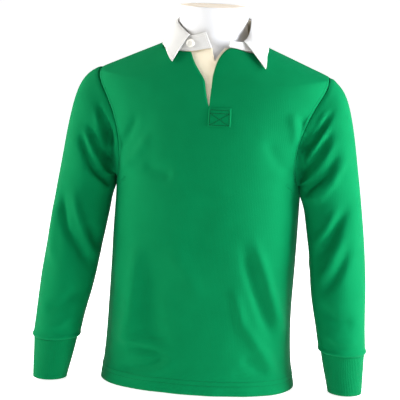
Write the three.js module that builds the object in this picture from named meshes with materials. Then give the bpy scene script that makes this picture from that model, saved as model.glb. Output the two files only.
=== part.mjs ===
// A long-sleeved rugby shirt worn by a limbless torso form: knitted body and sleeves,
// ribbed cuffs, a twill collar on a band, and a fly placket that hangs open at the neck.
// Millimetres, +Z up. The shirt faces -Y and +X is the wearer's left.
// The origin is the middle of the form's flat base.
import * as THREE from "three";

// Driving dimensions
const CLOTH = 2.0; // knitted cloth of the body and sleeves
const RIB = 2.2; // doubled rib of the cuffs
const TWILL = 1.7; // collar, band and placket cloth
const FACING = 1.2; // single cloth inside the placket, and of its stitched box
const HEM_CLOTH = 3.6; // the turned hem is two layers
const HEM_TURN = 20; // height of the turned hem
const SEAM = 0.3; // parting between sewn pieces
const EASE = 0.9; // parting where one cloth hangs loose behind another
const HEM = 4; // hem above the form's base
const UNDERARM = 413;
const SHOULDER_TIP = 633;
const NECK_SIDE = 697;
const NECK_FRONT = 678; // where the open placket leaves the band
const FLAP_LIFT = 10; // the wearer's left flap stands a little higher
const NECK_BACK = 703;
const ARMHOLE_CUT = 31; // degrees that the armhole reaches in from the side seam
const SLIT_BOTTOM = 575;
const SLIT_X = 9; // the placket's opening, across from the middle
const UNDERLAP_WIDE = 42; // the button stand, past its own flap's edge
const BOX_WIDE = 44; // the stitched box that closes the placket
const BOX_HIGH = 36;
const NECK_TOP = 763; // flat top of the form's neck
const NECK_WIDE = 68.7; // half the width and depth of the form's neck
const NECK_DEEP = 60;
const NECK_MIDDLE = { x: 1.5, y: 2 };
const BUTTON_RADIUS = 8.2;
const BUTTON_THICK = 3.4;
const BUTTON_TURN = 342; // degrees round the band
const ARMS = { left: { side: 1, back: 16 }, right: { side: -1, back: -20 } };

// Mesh densities
const FRONT_COLUMNS = 28;
const BACK_COLUMNS = 22;
const HEM_ROWS = 2;
const BODY_ROWS = 11;
const ARMHOLE_ROWS = 12; // a sleeve has twice as many columns
const NECK_ROWS = 4;
const SLIT_ROW = HEM_ROWS + BODY_ROWS + 8; // the row that ends at the slit's bottom
const SLEEVE_RINGS = 22;
const FORM_AROUND = 32;

// The worn body, a row for each level: its middle, half width, depth to front and back.
const BODY = [
  { z: -20, midX: -5, midY: 0, half: 197, front: 117, back: 114 },
  { z: 4, midX: -5, midY: 0, half: 196, front: 117, back: 114 },
  { z: 38, midX: -5, midY: 0, half: 191, front: 115, back: 112 },
  { z: 88, midX: -5, midY: 0, half: 187, front: 113, back: 109 },
  { z: 158, midX: -4, midY: 0, half: 184.5, front: 112, back: 105 },
  { z: 238, midX: -1, midY: 0, half: 184.5, front: 113, back: 102 },
  { z: 318, midX: 1, midY: 1, half: 185, front: 116, back: 103 },
  { z: 378, midX: 3, midY: 2, half: 184, front: 119, back: 108 },
  { z: 418, midX: 4, midY: 3, half: 185, front: 121, back: 112 },
  { z: 468, midX: 5, midY: 4, half: 192, front: 121, back: 116 },
  { z: 533, midX: 7, midY: 5, half: 209, front: 116, back: 116 },
  { z: 588, midX: 8, midY: 6, half: 230, front: 106, back: 109 },
  { z: 612, midX: 8, midY: 6, half: 238, front: 100, back: 104 },
  { z: 625, midX: 8, midY: 6, half: 236, front: 96, back: 100 },
  { z: 633, midX: 8, midY: 6, half: 225, front: 93, back: 97 },
  { z: 648, midX: 7, midY: 6, half: 190, front: 90, back: 92 },
  { z: 663, midX: 6, midY: 6, half: 156, front: 86, back: 86 },
  { z: 678, midX: 5, midY: 6, half: 121, front: 80, back: 79 },
  { z: 690, midX: 4.5, midY: 6, half: 92, front: 75, back: 73 },
  { z: 698, midX: 4, midY: 6, half: 78, front: 72, back: 70 },
  { z: 712, midX: 3, midY: 6, half: 75, front: 68, back: 66 },
];
const SQUARENESS = 2.3; // of the body's sections, where 2 is an ellipse

// The sleeve beyond its armhole: the inner and outer side of each ring as worn, how far
// forward it hangs, and its half depth. Both sleeves share it.
const SLEEVE = [
  { inX: 187.5, inZ: 417.5, outX: 238, outZ: 628, midY: 4, deep: 60 },
  { inX: 190, inZ: 418.5, outX: 254, outZ: 615, midY: 2, deep: 61 },
  { inX: 191.5, inZ: 416, outX: 268, outZ: 592, midY: 0, deep: 61 },
  { inX: 192, inZ: 411, outX: 277.5, outZ: 560, midY: -1, deep: 60 },
  { inX: 192, inZ: 405, outX: 286, outZ: 520, midY: -2, deep: 59 },
  { inX: 192, inZ: 397, outX: 292.5, outZ: 478, midY: -3, deep: 58 },
  { inX: 192, inZ: 387, outX: 299, outZ: 436, midY: -4, deep: 57 },
  { inX: 192.5, inZ: 374, outX: 305, outZ: 396, midY: -5, deep: 57 },
  { inX: 195.5, inZ: 350, outX: 309.5, outZ: 362, midY: -7, deep: 56.5 },
  { inX: 200.5, inZ: 320, outX: 314, outZ: 330, midY: -9, deep: 56 },
  { inX: 206, inZ: 286, outX: 318.5, outZ: 293, midY: -12, deep: 55 },
  { inX: 211, inZ: 250, outX: 323, outZ: 254, midY: -16, deep: 54 },
  { inX: 215.5, inZ: 214, outX: 327, outZ: 216, midY: -20, deep: 52 },
  { inX: 222.5, inZ: 176, outX: 329, outZ: 177, midY: -24, deep: 50 },
  { inX: 230.5, inZ: 144, outX: 331, outZ: 143, midY: -28, deep: 48 },
  { inX: 235.5, inZ: 116, outX: 333, outZ: 113, midY: -31, deep: 46.5 },
  { inX: 239, inZ: 98, outX: 335, outZ: 94, midY: -33, deep: 46 },
  { inX: 240.5, inZ: 92.5, outX: 335, outZ: 88.5, midY: -33.5, deep: 45 },
  { inX: 244, inZ: 90, outX: 333.3, outZ: 86, midY: -33.8, deep: 43 },
];
const CUFF = [
  { inX: 244, inZ: 89.4, outX: 333.3, outZ: 85.4, midY: -33.8, deep: 43 },
  { inX: 246.5, inZ: 78, outX: 332.7, outZ: 74, midY: -34.5, deep: 41 },
  { inX: 251.5, inZ: 53, outX: 332.2, outZ: 50, midY: -36.5, deep: 38 },
  { inX: 257.3, inZ: 30, outX: 332, outZ: 28, midY: -38.5, deep: 35.5 },
  { inX: 262.5, inZ: 7, outX: 331.5, outZ: 6, midY: -40, deep: 33.5 },
];

// The largest folds, each a soft ridge (high above 0) or trough along a bowed line.
// Front and back are told by x and z as seen from in front.
const FRONT_FOLDS = [
  { fromX: 92, fromZ: 330, toX: 172, toZ: 95, bow: 10, wide: 17, high: 6 },
  { fromX: 62, fromZ: 290, toX: 140, toZ: 60, bow: 12, wide: 17, high: 4.5 },
  { fromX: 108, fromZ: 290, toX: 140, toZ: 130, bow: 4, wide: 15, high: -3.5 },
  { fromX: -150, fromZ: 290, toX: -158, toZ: 110, bow: 6, wide: 24, high: 4 },
  { fromX: -176, fromZ: 96, toX: -60, toZ: 72, bow: -5, wide: 18, high: 4.5 },
  { fromX: -150, fromZ: 28, toX: -62, toZ: 58, bow: 4, wide: 15, high: -3.5 },
  { fromX: -170, fromZ: 470, toX: -105, toZ: 560, bow: -12, wide: 22, high: -3.5 },
  { fromX: 176, fromZ: 480, toX: 140, toZ: 548, bow: 10, wide: 20, high: -3.5 },
];
const BACK_FOLDS = [
  { fromX: -165, fromZ: 440, toX: -70, toZ: 330, bow: 12, wide: 22, high: 5 },
  { fromX: 168, fromZ: 440, toX: 78, toZ: 318, bow: -12, wide: 22, high: 5 },
  { fromX: -60, fromZ: 300, toX: -100, toZ: 60, bow: 12, wide: 24, high: 4.5 },
  { fromX: 52, fromZ: 290, toX: 96, toZ: 56, bow: -12, wide: 24, high: 4.5 },
  { fromX: -20, fromZ: 240, toX: 4, toZ: 70, bow: 8, wide: 22, high: 4 },
];
// Sleeve folds run from one turn (degrees from the outer side, forward) and ring to
// another, and a ring counts as RING_STEP.
const RING_STEP = 32;
const SLEEVE_FOLDS = [
  { fromTurn: 152, fromRing: 2, toTurn: 60, toRing: 1.5, bow: 4, wide: 16, high: -4.5 },
  { fromTurn: 158, fromRing: 4.5, toTurn: 42, toRing: 3.5, bow: 5, wide: 16, high: -4.5 },
  { fromTurn: 130, fromRing: 6.6, toTurn: 30, toRing: 5.2, bow: 6, wide: 18, high: 4.5 },
  { fromTurn: 55, fromRing: 7.5, toTurn: 130, toRing: 12.5, bow: -6, wide: 17, high: -4.5 },
  { fromTurn: 22, fromRing: 8, toTurn: 88, toRing: 13.5, bow: -6, wide: 18, high: 4 },
  { fromTurn: 210, fromRing: 5.5, toTurn: 310, toRing: 4, bow: 5, wide: 18, high: 4.5 },
  { fromTurn: 220, fromRing: 8.5, toTurn: 318, toRing: 7.4, bow: 5, wide: 18, high: 4.5 },
  { fromTurn: 215, fromRing: 11.5, toTurn: 300, toRing: 10.6, bow: 4, wide: 18, high: 4 },
];

// The collar's outer edge, by the turn (degrees from the front) of the band's seam below
// it: where it lies over the body, at what level, and how far above it.
const COLLAR_EDGE = [
  { turn: 40, over: 33.5, z: 649.5, lift: 5 },
  { turn: 62, over: 50.5, z: 673, lift: 5 },
  { turn: 88, over: 88, z: 685.5, lift: 5 },
  { turn: 130, over: 130, z: 689, lift: 5.5 },
  { turn: 180, over: 180, z: 692, lift: 5.5 },
  { turn: 230, over: 230, z: 690, lift: 5.5 },
  { turn: 270, over: 272, z: 687.5, lift: 5 },
  { turn: 305, over: 313.5, z: 679.5, lift: 5 },
  { turn: 336, over: 335.5, z: 656.5, lift: 5 },
];
// The band's fold, by the turn of its seam, and how far that seam rises off the neckline.
// It ends in a tab past the wearer's right flap.
const BAND = [
  { turn: 21, x: 41.5, y: -66, z: 701.5, rise: 0.8 },
  { turn: 40, x: 71.5, y: -50, z: 699, rise: 2 },
  { turn: 58, x: 79, y: -31, z: 720, rise: 0.3 },
  { turn: 86, x: 77, y: 0, z: 735.5, rise: 0 },
  { turn: 100, x: 75.5, y: 17, z: 735.5, rise: 0 },
  { turn: 135, x: 58, y: 53.5, z: 737, rise: 0 },
  { turn: 180, x: 3.5, y: 71.5, z: 739, rise: 0 },
  { turn: 225, x: -52, y: 53.5, z: 737, rise: 0 },
  { turn: 270, x: -69.8, y: 8, z: 733, rise: 0 },
  { turn: 286, x: -68.8, y: -11, z: 730, rise: 0 },
  { turn: 300, x: -62.5, y: -29, z: 724, rise: 0 },
  { turn: 322, x: -48, y: -50, z: 714, rise: 0 },
  { turn: 336, x: -38, y: -60, z: 708, rise: 0 },
  { turn: 342, x: -33, y: -63, z: 708.5, rise: 0 },
  { turn: 362, x: -4.9, y: -65, z: 716, rise: 8 },
];
// Where the slit's two edges are, by level: the wearer's right flap and left flap.
const SLIT = [
  { z: SLIT_BOTTOM, right: SLIT_X, left: SLIT_X },
  { z: 582, right: 5.4, left: 10.5 },
  { z: 601, right: 1, left: 13.6 },
  { z: 625, right: -0.4, left: 13.8 },
  { z: 636, right: -7.2, left: 14.3 },
  { z: 655, right: -21.4, left: 19 },
  { z: 669, right: -27.7, left: 23.6 },
  { z: 680, right: -32.7, left: 32 },
  { z: 690, right: -34, left: 39.6 },
];

const smooth = (low, high, at) => THREE.MathUtils.smoothstep(at, low, high);
const radians = THREE.MathUtils.degToRad;

// A table's columns at a place between its rows, on monotone cubics.
function along(table, by, at) {
  const last = table.length - 1;
  const place = Math.min(Math.max(at, table[0][by]), table[last][by]);
  let i = 0;
  while (i < last - 1 && place > table[i + 1][by]) i += 1;
  const span = table[i + 1][by] - table[i][by];
  const t = (place - table[i][by]) / span;
  const slope = (key, k) => {
    if (k === 0 || k === last) return 0;
    const before = (table[k][key] - table[k - 1][key]) / (table[k][by] - table[k - 1][by]);
    const after = (table[k + 1][key] - table[k][key]) / (table[k + 1][by] - table[k][by]);
    return before * after <= 0 ? 0 : (2 * before * after) / (before + after);
  };
  const row = {};
  for (const key of Object.keys(table[0])) {
    const a = table[i][key];
    const b = table[i + 1][key];
    const rise = t * t * (3 - 2 * t);
    const leave = t * (1 - t) * (1 - t) * span * slope(key, i);
    const arrive = t * t * (1 - t) * span * slope(key, i + 1);
    row[key] = a + (b - a) * rise + leave - arrive;
  }
  return row;
}

// How far one fold lifts the cloth at (u, v) of the plane that it is drawn in.
function foldAt(fold, u, v, from, to) {
  const du = to.u - from.u;
  const dv = to.v - from.v;
  const length = Math.hypot(du, dv);
  const t = ((u - from.u) * du + (v - from.v) * dv) / (length * length);
  if (t < -0.15 || t > 1.15) return 0;
  const off = ((v - from.v) * du - (u - from.u) * dv) / length;
  const across = (off - fold.bow * 4 * t * (1 - t)) / fold.wide;
  const fade = smooth(-0.15, 0.3, t) * (1 - smooth(0.7, 1.15, t));
  return fold.high * fade * Math.exp(-across * across);
}
const bodyFolds = (folds, x, z) =>
  folds.reduce(
    (sum, f) => sum + foldAt(f, x, z, { u: f.fromX, v: f.fromZ }, { u: f.toX, v: f.toZ }),
    0,
  );

// A point of the smooth body: turn 0 is the front, 90 the wearer's left, 180 the back.
function bodyPoint(turn, z) {
  const s = along(BODY, "z", z);
  const sin = Math.sin(radians(turn));
  const cos = Math.cos(radians(turn));
  const depth = cos > 0 ? s.front : s.back;
  const reach = (Math.abs(sin) ** SQUARENESS + Math.abs(cos) ** SQUARENESS) ** (-1 / SQUARENESS);
  return new THREE.Vector3(s.midX + s.half * sin * reach, s.midY - depth * cos * reach, z);
}
function bodyNormal(turn, z) {
  const step = 0.4;
  const around = bodyPoint(turn + step, z).sub(bodyPoint(turn - step, z));
  const up = bodyPoint(turn, z + step).sub(bodyPoint(turn, z - step));
  return around.cross(up).normalize();
}
// The body's surface moved out (or in, below 0) along its normal.
function overBody(turn, z, out) {
  return bodyPoint(turn, z).addScaledVector(bodyNormal(turn, z), out);
}
// The turn at which the body's front stands at x.
function turnAt(x, z) {
  const { half } = along(BODY, "z", z);
  let turn = 0;
  for (let i = 0; i < 6; i += 1) {
    turn -= THREE.MathUtils.radToDeg((bodyPoint(turn, z).x - x) / half);
  }
  return turn;
}
// The neckline: the level at which the body's cloth ends, by turn.
function neckline(turn) {
  const back = (1 - Math.cos(radians(turn))) / 2; // 0 in front, 1 at the back
  const flap = turn > 0 && turn < 90 ? FLAP_LIFT * (1 - smooth(20, 43, turn)) : 0;
  return back < 0.5
    ? NECK_FRONT + (NECK_SIDE - NECK_FRONT) * smooth(0.06, 0.5, back) + flap
    : NECK_SIDE + (NECK_BACK - NECK_SIDE) * smooth(0.5, 1, back);
}
// The slit's edges (side -1 or 1) and middle (0) at a level.
function slitAcross(z, side) {
  const row = along(SLIT, "z", z);
  return side ? (side > 0 ? row.left : row.right) : (row.left + row.right) / 2;
}
function slitTurn(z, side) {
  return turnAt(slitAcross(z, side), z);
}

// A closed wall from the named points of its two faces and the cells between them.
class Wall {
  constructor() {
    this.outer = new Map();
    this.inner = new Map();
    this.cells = [];
  }
  point(key, outer, inner) {
    this.outer.set(key, outer);
    this.inner.set(key, inner);
  }
  geometry() {
    const keys = [...this.outer.keys()];
    const index = new Map(keys.map((key, i) => [key, i]));
    const count = keys.length;
    const points = [...keys.map((k) => this.outer.get(k)), ...keys.map((k) => this.inner.get(k))];
    const faces = [];
    const edges = new Map();
    for (const cell of this.cells) {
      const [a, b, c, d] = cell.map((key) => index.get(key));
      const rising = points[a].distanceTo(points[c]) < points[b].distanceTo(points[d]);
      const halves = rising ? [a, b, c, a, c, d] : [b, c, d, b, d, a];
      faces.push(...halves, ...halves.map((p) => p + count).reverse());
      const sides = [
        [a, b],
        [b, c],
        [c, d],
        [d, a],
      ];
      for (const [p, q] of sides) {
        if (edges.has(`${q},${p}`)) edges.delete(`${q},${p}`);
        else edges.set(`${p},${q}`, [p, q]);
      }
    }
    for (const [p, q] of edges.values()) {
      faces.push(p, p + count, q + count, p, q + count, q);
    }
    const made = new THREE.BufferGeometry();
    const flat = new Float32Array(points.flatMap((v) => [v.x, v.y, v.z]));
    made.setAttribute("position", new THREE.BufferAttribute(flat, 3));
    made.setIndex(faces);
    const loose = made.toNonIndexed();
    loose.computeVertexNormals();
    return loose;
  }
}

// Normals of a grid of points, by the neighbours along its rows and columns.
function gridNormals(grid, closed) {
  const rows = grid.length;
  const columns = grid[0].length;
  return grid.map((row, i) =>
    row.map((_, j) => {
      const right = closed ? (j + 1) % columns : Math.min(j + 1, columns - 1);
      const left = closed ? (j - 1 + columns) % columns : Math.max(j - 1, 0);
      const above = grid[Math.min(i + 1, rows - 1)][j];
      const below = grid[Math.max(i - 1, 0)][j];
      const across = row[right].clone().sub(row[left]);
      return across.cross(above.clone().sub(below)).normalize();
    }),
  );
}

// A wall behind a grid of outer points. Columns run to the left of the outward normal.
function gridWall(grid, { thick, closed = false, normals = gridNormals(grid, closed) }) {
  const wall = new Wall();
  const columns = grid[0].length;
  grid.forEach((row, i) =>
    row.forEach((point, j) => {
      const deep = typeof thick === "function" ? thick(point) : thick;
      wall.point(`${i},${j}`, point, point.clone().addScaledVector(normals[i][j], -deep));
    }),
  );
  for (let i = 0; i + 1 < grid.length; i += 1) {
    for (let j = 0; j + 1 < columns + (closed ? 1 : 0); j += 1) {
      const k = (j + 1) % columns;
      wall.cells.push([`${i},${j}`, `${i},${k}`, `${i + 1},${k}`, `${i + 1},${j}`]);
    }
  }
  return wall.geometry();
}

const bodyThick = (point) =>
  CLOTH + (HEM_CLOTH - CLOTH) * (1 - smooth(HEM + HEM_TURN - 3, HEM + HEM_TURN + 3, point.z));

// Levels of a panel's rows, as shares of its side seam from the hem to the neck.
function rowShares() {
  const levels = [HEM];
  const push = (low, high, count, share) => {
    for (let k = 1; k <= count; k += 1) levels.push(low + (high - low) * share(k / count));
  };
  push(HEM, HEM + HEM_TURN, HEM_ROWS, (t) => t);
  push(HEM + HEM_TURN, UNDERARM, BODY_ROWS, (t) => t);
  push(UNDERARM, SHOULDER_TIP, ARMHOLE_ROWS, (t) => (1 - Math.cos(Math.PI * t)) / 2);
  push(SHOULDER_TIP, NECK_SIDE, NECK_ROWS, (t) => t);
  return levels.map((z) => (z - HEM) / (NECK_SIDE - HEM));
}
const ROWS = rowShares();

// The armhole's edge: how far from the side line the cloth stops at a level.
function armholeCut(z) {
  const t = (z - UNDERARM) / (SHOULDER_TIP - UNDERARM);
  return t <= 0 || t >= 1 ? 0 : ARMHOLE_CUT * (4 * t * (1 - t)) ** 0.28;
}

// The body's two panels: facing is the turn of its middle.
const FRONT = { facing: 0, columns: FRONT_COLUMNS, folds: FRONT_FOLDS, slit: true };
const BACK = { facing: 180, columns: BACK_COLUMNS, folds: BACK_FOLDS, slit: false };

// The rows bow up in the middle of the front, so that one ends at the slit's bottom.
function bowed(z, spread) {
  const low = UNDERARM + 60;
  const bow = (at) => Math.sin(Math.PI * THREE.MathUtils.clamp((at - low) / (NECK_FRONT - low), 0, 1));
  const flat = HEM + (NECK_FRONT - HEM) * ROWS[SLIT_ROW];
  const lift = (SLIT_BOTTOM - flat) / bow(flat);
  return z + lift * bow(z) * (1 - Math.abs(spread)) ** 2;
}
// The turn and level of a panel's point. Side tells the slit's two edges apart.
function onPanel(panel, row, column, side) {
  const half = panel.columns / 2;
  const spread = (column - half) / half;
  const inward = 1 - Math.abs(spread);
  const neckTurn = panel.slit ? slitTurn(NECK_FRONT, side) : 0;
  const top = neckline(panel.facing + 90 * spread + neckTurn * inward);
  const flat = HEM + (top - HEM) * ROWS[row];
  const z = panel.slit ? bowed(flat, spread) : flat;
  const s = along(BODY, "z", z);
  const parting = THREE.MathUtils.radToDeg(SEAM / 2 / (panel.slit ? s.front : s.back));
  let turn = panel.facing + (90 - armholeCut(z) - parting) * spread;
  if (panel.slit) turn += slitTurn(z, row > SLIT_ROW ? side : 0) * inward;
  return { turn, z, spread };
}
// A panel's point, moved out from the cloth's outer face (or in, below 0).
function panelPoint(panel, row, column, side, out = 0) {
  const { turn, z, spread } = onPanel(panel, row, column, side);
  const edgeFade = 1 - smooth(0.86, 1, Math.abs(spread));
  const lift = bodyFolds(panel.folds, bodyPoint(turn, z).x, z) * edgeFade;
  return overBody(turn, z, lift + out);
}
function panelWall(panel) {
  const wall = new Wall();
  const half = panel.columns / 2;
  const keyOf = (row, column, side) =>
    panel.slit && column === half && row > SLIT_ROW ? `${row},${column},${side}` : `${row},${column}`;
  ROWS.forEach((_, row) => {
    for (let column = 0; column <= panel.columns; column += 1) {
      for (const side of column === half ? [-1, 1] : [Math.sign(column - half)]) {
        const outer = panelPoint(panel, row, column, side);
        const inner = panelPoint(panel, row, column, side, -bodyThick(outer));
        wall.point(keyOf(row, column, side), outer, inner);
      }
    }
  });
  for (let row = 0; row + 1 < ROWS.length; row += 1) {
    for (let column = 0; column < panel.columns; column += 1) {
      const side = column < half ? -1 : 1;
      wall.cells.push([
        keyOf(row, column, side),
        keyOf(row, column + 1, side),
        keyOf(row + 1, column + 1, side),
        keyOf(row + 1, column, side),
      ]);
    }
  }
  return wall.geometry();
}

// The armhole's edge on the smooth body: turn 0 is the shoulder tip and 90 the front.
function armholePoint(side, turn) {
  const z = (UNDERARM + SHOULDER_TIP) / 2 + ((SHOULDER_TIP - UNDERARM) / 2) * Math.cos(turn);
  const cut = armholeCut(z) * Math.sign(Math.sin(turn));
  const bodyTurn = side * (90 - cut);
  return { point: bodyPoint(bodyTurn, z), normal: bodyNormal(bodyTurn, z) };
}
// One ring of a sleeve or cuff as the wearer's left, from its row of the table.
function ringPoint(row, turn) {
  const reach = Math.cos(turn);
  return new THREE.Vector3(
    (row.outX * (1 + reach) + row.inX * (1 - reach)) / 2,
    row.midY - row.deep * Math.sin(turn),
    (row.outZ * (1 + reach) + row.inZ * (1 - reach)) / 2,
  );
}
const withRings = (table) => table.map((row, ring) => ({ ring: ring + 1, ...row }));
// The sleeves stand a little to the wearer's left above the elbow, and swing below it.
const armShift = (z) => 4 * smooth(120, 330, z);
function hang(point, arm) {
  const down = Math.max(0, 1 - point.z / UNDERARM);
  point.y += arm.back * down ** 1.5;
  point.x = point.x * arm.side + armShift(point.z);
  return point;
}
// Mirrored columns run the other way, so that the wall still faces out.
const facingOut = (row, side) => (side > 0 ? row : [...row].reverse());
const AROUND = [...Array(2 * ARMHOLE_ROWS)].map((_, j) => (Math.PI * j) / ARMHOLE_ROWS);

function sleeve(arm) {
  const rows = withRings(SLEEVE);
  const seam = AROUND.map((turn) => armholePoint(arm.side, turn));
  // The first ring stands off the armhole along the cloth, square to the seam.
  const first = seam.map(({ point, normal }, j) => {
    const next = seam[(j + 1) % seam.length].point;
    const before = seam[(j - 1 + seam.length) % seam.length].point;
    const run = next.clone().sub(before).normalize();
    return point.clone().addScaledVector(run.cross(normal).normalize(), -arm.side * SEAM);
  });
  const asLeft = first.map((p) => {
    return new THREE.Vector3((p.x - armShift(p.z)) * arm.side, p.y, p.z);
  });
  const tip = asLeft[0];
  const pit = asLeft[ARMHOLE_ROWS];
  const grid = [first];
  for (const ring of spread(1, SLEEVE.length, SLEEVE_RINGS - 1)) {
    const row = along(rows, "ring", ring);
    const middle = ringPoint(row, 0).add(ringPoint(row, Math.PI)).multiplyScalar(0.5);
    const points = AROUND.map((turn, j) => {
      const point = ringPoint(row, turn);
      const straight = (tip.x * (1 + Math.cos(turn)) + pit.x * (1 - Math.cos(turn))) / 2;
      point.x += (asLeft[j].x - straight) * (1 - smooth(0, 4.5, ring));
      point.y += (asLeft[j].y - point.y) * (1 - smooth(0, 5, ring));
      const lift = SLEEVE_FOLDS.reduce((sum, f) => {
        const from = { u: f.fromTurn, v: f.fromRing * RING_STEP };
        const to = { u: f.toTurn, v: f.toRing * RING_STEP };
        return sum + foldAt(f, THREE.MathUtils.radToDeg(turn), ring * RING_STEP, from, to);
      }, 0);
      const near = smooth(1, 2.5, ring) * (1 - smooth(16, 18, ring)); // no folds at its seams
      const out = point.clone().sub(middle);
      out.setLength(out.length() + lift * near);
      return hang(middle.clone().add(out), arm);
    });
    grid.push(points);
  }
  const sided = grid.map((row) => facingOut(row, arm.side));
  const normals = gridNormals(sided, true);
  normals[0] = facingOut(
    seam.map((s) => s.normal),
    arm.side,
  );
  return gridWall(sided, { thick: CLOTH, closed: true, normals });
}

function cuff(arm) {
  const grid = CUFF.map((row) => {
    const points = AROUND.map((turn) => hang(ringPoint(row, turn), arm));
    return facingOut(points, arm.side);
  });
  return gridWall(grid, { thick: RIB, closed: true });
}

function spread(from, to, count) {
  return [...Array(count + 1)].map((_, k) => from + ((to - from) * k) / count);
}
const outwardAt = (turn) => new THREE.Vector3(Math.sin(radians(turn)), -Math.cos(radians(turn)), 0);

// The band's surface: share 0 is its seam on the neckline and 1 its fold.
function bandPoint(turn, share) {
  const row = along(BAND, "turn", turn);
  const seam = overBody(turn, neckline(turn), -0.2);
  seam.z += SEAM + EASE + row.rise;
  const bulge = 1.5 * Math.sin(Math.PI * share);
  const fold = new THREE.Vector3(row.x, row.y, row.z);
  return seam.lerp(fold, share).addScaledVector(outwardAt(turn), bulge);
}
const BAND_TURNS = spread(BAND[0].turn, BAND[BAND.length - 1].turn, 42);
function band() {
  const grid = [0, 0.33, 0.66, 1].map((share) => BAND_TURNS.map((turn) => bandPoint(turn, share)));
  return gridWall(grid, { thick: TWILL });
}

// The fall of the collar: from the band's fold, over and down to its edge.
const COLLAR_ROLL = 4; // how far the fall stands off the band
const COLLAR_BULGE = 1.6;
// A point beside the band's fold: out from the band, and square above the fold.
function overFold(turn, out, above) {
  const run = bandPoint(turn + 1, 1).sub(bandPoint(turn - 1, 1));
  const up = outwardAt(turn).cross(run).normalize();
  return bandPoint(turn, 1).addScaledVector(outwardAt(turn), out).addScaledVector(up, above);
}
function collarPoint(turn, share) {
  const row = along(COLLAR_EDGE, "turn", turn);
  const edge = overBody(row.over, row.z, row.lift);
  const bulge = COLLAR_BULGE * Math.sin(Math.PI * share);
  return overFold(turn, COLLAR_ROLL, SEAM + TWILL)
    .lerp(edge, share)
    .addScaledVector(outwardAt(turn), bulge);
}
function collar() {
  const ends = [COLLAR_EDGE[0].turn, COLLAR_EDGE[COLLAR_EDGE.length - 1].turn];
  const turns = BAND_TURNS.filter((turn) => turn > ends[0] - 4 && turn < ends[1] + 4);
  const grid = [1, 0.8, 0.6, 0.4, 0.2, 0.05].map((share) =>
    turns.map((turn) => collarPoint(turn, share)),
  );
  grid.push(turns.map((turn) => overFold(turn, -0.4, SEAM + TWILL + 0.7)));
  return gridWall(grid, { thick: TWILL });
}

// The facing inside the wearer's left flap: its edge shows as a line beside the slit.
const FACING_COLUMNS = 3;
const FACING_SHOWS = 1.2;
function placketFacing() {
  const half = FRONT.columns / 2;
  const grid = [];
  for (let row = SLIT_ROW - 1; row < ROWS.length; row += 1) {
    const points = [];
    for (let k = 0; k <= FACING_COLUMNS; k += 1) {
      points.push(panelPoint(FRONT, row, half + k, 1, -CLOTH - SEAM));
    }
    const beyond = points[0].clone();
    beyond.x -= FACING_SHOWS;
    grid.push([beyond, ...points]);
  }
  return gridWall(grid, { thick: FACING });
}
// The button stand on the wearer's right flap: it hangs behind both flaps.
function placketUnderlap() {
  const tucked = -12;
  const bottom = SLIT_BOTTOM - 20;
  const across = [tucked, -5, 0, 6, 13, 20, 27, 34, UNDERLAP_WIDE];
  const grid = spread(0, 1, 9).map((share) =>
    across.map((far) => {
      const top = NECK_FRONT + 3 + 7 * smooth(0, UNDERLAP_WIDE, far);
      const z = bottom + (top - bottom) * share;
      const x = slitAcross(z, -1) + far;
      const behindFlap = CLOTH + EASE;
      const behindFacing = CLOTH + SEAM + FACING + EASE;
      const inset = behindFlap + (behindFacing - behindFlap) * smooth(tucked, -2, far);
      return overBody(turnAt(x, z), z, -inset);
    }),
  );
  return gridWall(grid, { thick: TWILL });
}
// The box of cloth stitched over the placket's end.
function placketBox() {
  const top = SLIT_BOTTOM + 1;
  const grid = spread(top - BOX_HIGH, top, 4).map((z) =>
    spread(SLIT_X + 2, SLIT_X + 2 + BOX_WIDE, 4).map((x) =>
      overBody(turnAt(x, z), z, SEAM + FACING),
    ),
  );
  return gridWall(grid, { thick: FACING });
}

// A rubber button: a dished disc with a raised rim.
function button() {
  const r = BUTTON_RADIUS;
  const profile = [
    [0, 0],
    [r - 0.8, 0],
    [r, 0.8],
    [r, BUTTON_THICK - 0.7],
    [r - 0.7, BUTTON_THICK],
    [r - 1.9, BUTTON_THICK],
    [r - 2.8, BUTTON_THICK - 1.3],
    [0, BUTTON_THICK - 1.1],
  ].map(([x, y]) => new THREE.Vector2(x, y));
  return new THREE.LatheGeometry(profile, 24);
}
function placeButton(mesh) {
  const turn = BUTTON_TURN;
  const here = bandPoint(turn, 0.5);
  const around = bandPoint(turn + 1, 0.5).sub(bandPoint(turn - 1, 0.5));
  const up = bandPoint(turn, 0.6).sub(bandPoint(turn, 0.4));
  const normal = around.cross(up).normalize();
  mesh.position.copy(here.addScaledVector(normal, SEAM));
  mesh.quaternion.setFromUnitVectors(new THREE.Vector3(0, 1, 0), normal);
}

// How far inside the cloth's outer face the form stands, by level.
const FORM = [
  { z: 0, inset: 24 },
  { z: 30, inset: 24 },
  { z: 88, inset: 22 },
  { z: 150, inset: 24 },
  { z: 205, inset: 26 },
  { z: 260, inset: 25 },
  { z: 318, inset: 20 },
  { z: 378, inset: 16 },
  { z: 430, inset: 12 },
  { z: 480, inset: 11 },
  { z: 533, inset: 10 },
  { z: 575, inset: 9.5 },
  { z: 605, inset: 9 },
  { z: 622, inset: 8.5 },
  { z: 634, inset: 8 },
  { z: 646, inset: 8 },
  { z: 658, inset: 8 },
  { z: 670, inset: 8 },
  { z: 680, inset: 8 },
  { z: 688, inset: 8 },
  { z: 693, inset: 8 },
  { z: 697, inset: 8 },
];
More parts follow.
